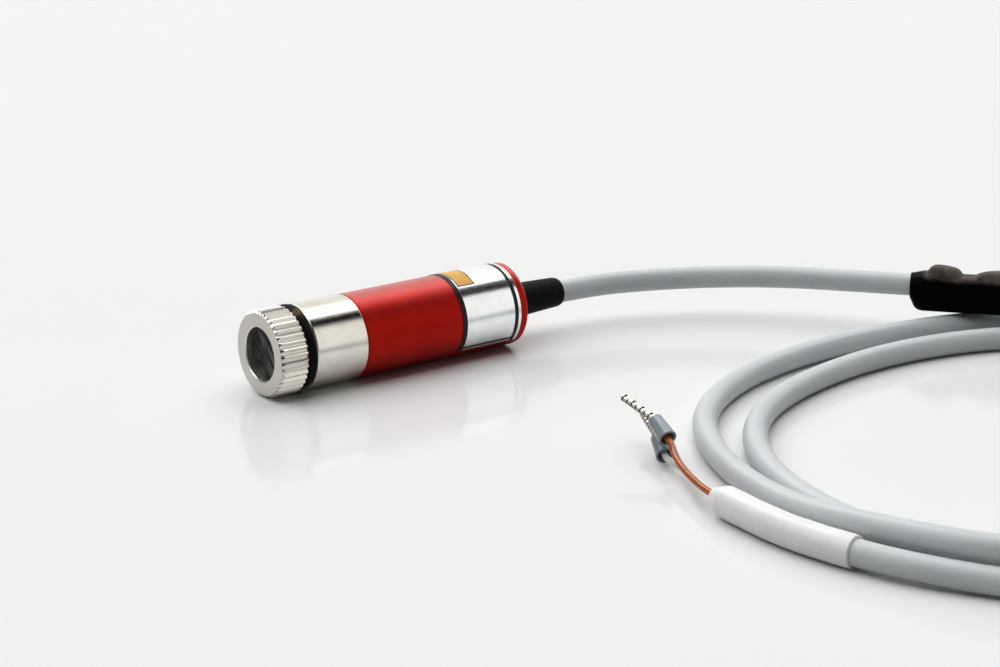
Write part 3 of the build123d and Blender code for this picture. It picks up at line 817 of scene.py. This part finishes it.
def sleeve(cable_line):
    """Marker sleeve: round rows along the last part of the cable and over its end, then back inside.

    Its radius swells a little by two sine waves, and closes on the cores by a half cosine over the last length.
    """
    mouth, full, neck, bore = (-2.55, -92.7, 2.05), 2.03, 1.22, 1.03
    line = cable_line[np.argmin(np.linalg.norm(cable_line - np.array(mouth), axis=1)) :]
    rim = straight(line[0], line[1] - line[0], [0.0, 0.05, 0.14])
    beyond = straight(line[-1], line[-1] - line[-2], np.linspace(0.15, 2.2, 14))
    centres = np.r_[rim, line[1:], beyond]
    s = along(centres)
    closing = np.clip((s - s[-15] + 0.25) / 2.45, 0.0, 1.0)
    waves = 0.012 * np.sin(1.1 * s) + 0.008 * np.sin(2.7 * s + 1.0)
    outer = full + waves * (1 - closing) - (full - neck) * (1 - np.cos(np.pi * closing)) / 2
    outer[:3] = 1.78, 1.93, 2.01
    outer[-2:] = neck, neck - 0.08
    inner = np.where(closing > 0.12, bore, CABLE_BORE)
    grid = np.concatenate([loops(centres, outer, 48), loops(centres, inner, 48)[::-1]])
    return piece("sleeve", shell(grid), "module", "shrink_white", ["marker_sleeve"])


def core_end(name, route, tip, slot):
    """One core with its ferrule: insulation, bare conductor, a funnel collar and a bent tube with crimp notches.

    The notches limit how far the tube stands up or down: to its radius less the depth, over the notch's width.
    """
    insulation_radius, wire_radius, tube_radius, tube_bore, notch_depth = 0.45, 0.33, 0.5, 0.37, 0.16
    points = route_points(route)
    mouth = points[-1]
    axis = np.array(route[-1]) - np.array(route[-2])
    axis = axis / np.linalg.norm(axis)
    tip = np.array(tip) / np.linalg.norm(tip)
    covered = np.r_[points, straight(mouth, axis, np.linspace(0.2, 2.36, 8))]
    shape = shell(loops(covered, insulation_radius, 32), capped=True)
    core = piece(f"{name}_insulation", shape, "module", slot, [f"{name}_core"])
    corner = mouth + 4.05 * axis
    bent = [mouth + 2.4 * axis, corner - 0.4 * axis, corner - 0.1 * axis, corner + 0.1 * tip, corner + 0.4 * tip]
    bent = route_points([*bent, corner + 5.95 * tip], resolution=24)
    s = along(bent)
    even = np.linspace(0.0, s[-1], 241)
    line = np.stack([np.interp(even, s, bent[:, i]) for i in range(3)], axis=-1)
    back = s[-1] - even
    notch = np.abs((back / CRIMP_PITCH) % 1.0 - 0.5) * CRIMP_PITCH
    pressed = np.clip((0.42 - notch) / 0.09, 0.0, 1.0) * (back < 4 * CRIMP_PITCH)
    clip = tube_radius - notch_depth * pressed
    end_round = 0.05 * np.clip(1 - back / 0.05, 0.0, 1.0)
    outside = loops(line, tube_radius - end_round, 40, clip)
    inside = loops(line, tube_bore, 40, clip - 0.03)
    shape = shell(np.concatenate([outside, inside[::-1]]))
    tin = crimped_tin(f"{name}_tin", line[-1], tip)
    tube = piece(f"{name}_tube", shape, "module", "tinned", [f"{name}_ferrule_tube"], tin)
    shape = shell(loops(line[:-8], wire_radius, 24), capped=True)
    wire = piece(f"{name}_wire", shape, "module", "tinned")
    outline = [(0.0, 0.92), (0.0, 1.22), (3.8, 0.98), (3.8, 0.54), (2.4, 0.54), (2.4, 0.62)]
    station, radius = rounded(outline, [0.08, 0.1, 0.25, 0.05, 0.02, 0.02], steps=4).T
    shape = shell(turned(station, radius, circle(56), mouth, axis))
    collar = piece(f"{name}_collar", shape, "module", "collar_grey", [f"{name}_ferrule_collar"])
    return [core, tube, wire, collar]


cable = route_curve("cable", LEAD_ROUTE, CABLE_RADIUS)
cable.data.materials.append(finishes["cable_grey"])
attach(cable, "module")
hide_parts("cable_lead", "cable_loops")
on_cable = [inline_unit(), sleeve(route_points(LEAD_ROUTE))]
on_cable += core_end("brown", BROWN_ROUTE, BROWN_TIP, "core_brown")
on_cable += core_end("white", WHITE_ROUTE, WHITE_TIP, "core_white")


def seen_rays(start):
    """Two values: 1 for rays straight from the camera, and 1 for rays that come by a mirror or a clear part."""
    path = start.node("ShaderNodeLightPath").socket.node.outputs
    camera_ray, glossy_ray, clear_ray = (
        Shade(start.tree, path[name]) for name in ("Is Camera Ray", "Is Glossy Ray", "Is Transmission Ray")
    )
    return camera_ray, glossy_ray.math("MAXIMUM", clear_ray)


def floor_finish():
    """Pale glossy board: nearly white where it is seen or mirrored, and duller for the light it throws back."""
    finish = Finish("floor")
    wave = finish.noise(14.0)
    tint = wave.step(0.3, 0.7).mix((0.862, 0.866, 0.866), (0.872, 0.876, 0.874))
    camera_ray, mirror_ray = seen_rays(finish.start)
    seen = camera_ray.math("MAXIMUM", mirror_ray)
    return finish.surface(
        Base_Color=seen.mix((0.56, 0.56, 0.56), tint),
        Roughness=0.11 + wave * 0.03,
        Specular_IOR_Level=0.15,
    )


def floor():
    """A flat square of nine by nine points, three metres wide."""
    ticks = np.linspace(-1.5, 1.5, 9)
    x, y = np.meshgrid(ticks, ticks, indexing="ij")
    corner = np.arange(x.size).reshape(x.shape)
    faces = np.stack([corner[:-1, :-1], corner[1:, :-1], corner[1:, 1:], corner[:-1, 1:]], -1).reshape(-1, 4)
    mesh = bpy.data.meshes.new("floor")
    mesh.from_pydata(np.c_[x.ravel(), y.ravel(), np.zeros(x.size)].tolist(), [], faces.tolist())
    mesh.materials.append(floor_finish())
    made = bpy.data.objects.new("floor", mesh)
    bpy.context.scene.collection.objects.link(made)


def studio():
    """Soft light from a pale room: an even fill, and for mirror images a dark gap, a bright ceiling and a window."""
    world = bpy.data.worlds.new("studio")
    bpy.context.scene.world = world
    world.use_nodes = True
    world.node_tree.nodes.clear()
    start = Shade(world.node_tree)
    towards = start.node("ShaderNodeTexCoord", output=0)
    split = start.node("ShaderNodeSeparateXYZ", sockets={0: towards}).socket.node.outputs
    x, y, z = (Shade(world.node_tree, socket) for socket in split)
    height = z.math("ARCTAN2", 0 - y) * math.degrees(1)
    gap = height.band(58.0, 89.0, 4.0)
    ceiling = height.band(85.0, 122.0, 10.0)
    window = height.band(116.0, 150.0, 8.0) * x.band(-0.05, 0.3, 0.1)
    side = (x.step(0.05, 0.4) * 0.8 + 0.2).mix((0.0, 0.0, 0.0), (1.02, 1.01, 0.985))
    room = window.mix(ceiling.mix(side, (3.2, 3.2, 3.2)), (6.0, 6.0, 6.0))
    mirrored = gap.mix(room, (0.0, 0.0, 0.0))
    camera_ray, mirror_ray = seen_rays(start)
    matt_or_mirrored = mirror_ray.mix((0.08, 0.08, 0.08), mirrored)
    shown = camera_ray.mix(matt_or_mirrored, (0.90, 0.90, 0.90))
    light = start.node("ShaderNodeBackground", sockets={"Color": shown, "Strength": 1.0})
    start.node("ShaderNodeOutputWorld", sockets={"Surface": light})


def soft_sun(tilt, turn, spread, strength):
    """One even lamp from far away: tilted from straight up towards the back, as soft as the spread of its light."""
    data = bpy.data.lights.new("overhead", "SUN")
    data.angle = math.radians(spread)
    data.energy = strength
    made = bpy.data.objects.new("overhead", data)
    bpy.context.scene.collection.objects.link(made)
    made.location = (0.0, 0.5, 1.0)
    made.rotation_euler = (math.radians(-tilt), 0.0, math.radians(turn))
    made.visible_glossy = False


floor()
studio()
soft_sun(tilt=22.0, turn=-5.0, spread=100.0, strength=3.1)

camera = bpy.data.objects.new("camera", bpy.data.cameras.new("camera"))
camera.data.lens = 90.0
camera.data.sensor_width = 36.0
camera.data.clip_start = 0.005
camera.location = (-0.1919, -0.27983, 0.1104)
camera.rotation_euler = (math.radians(90 - 17.358), 0.0, math.radians(-36.533))
bpy.context.scene.collection.objects.link(camera)
bpy.context.scene.camera = camera
bpy.context.scene.view_settings.view_transform = "Standard"
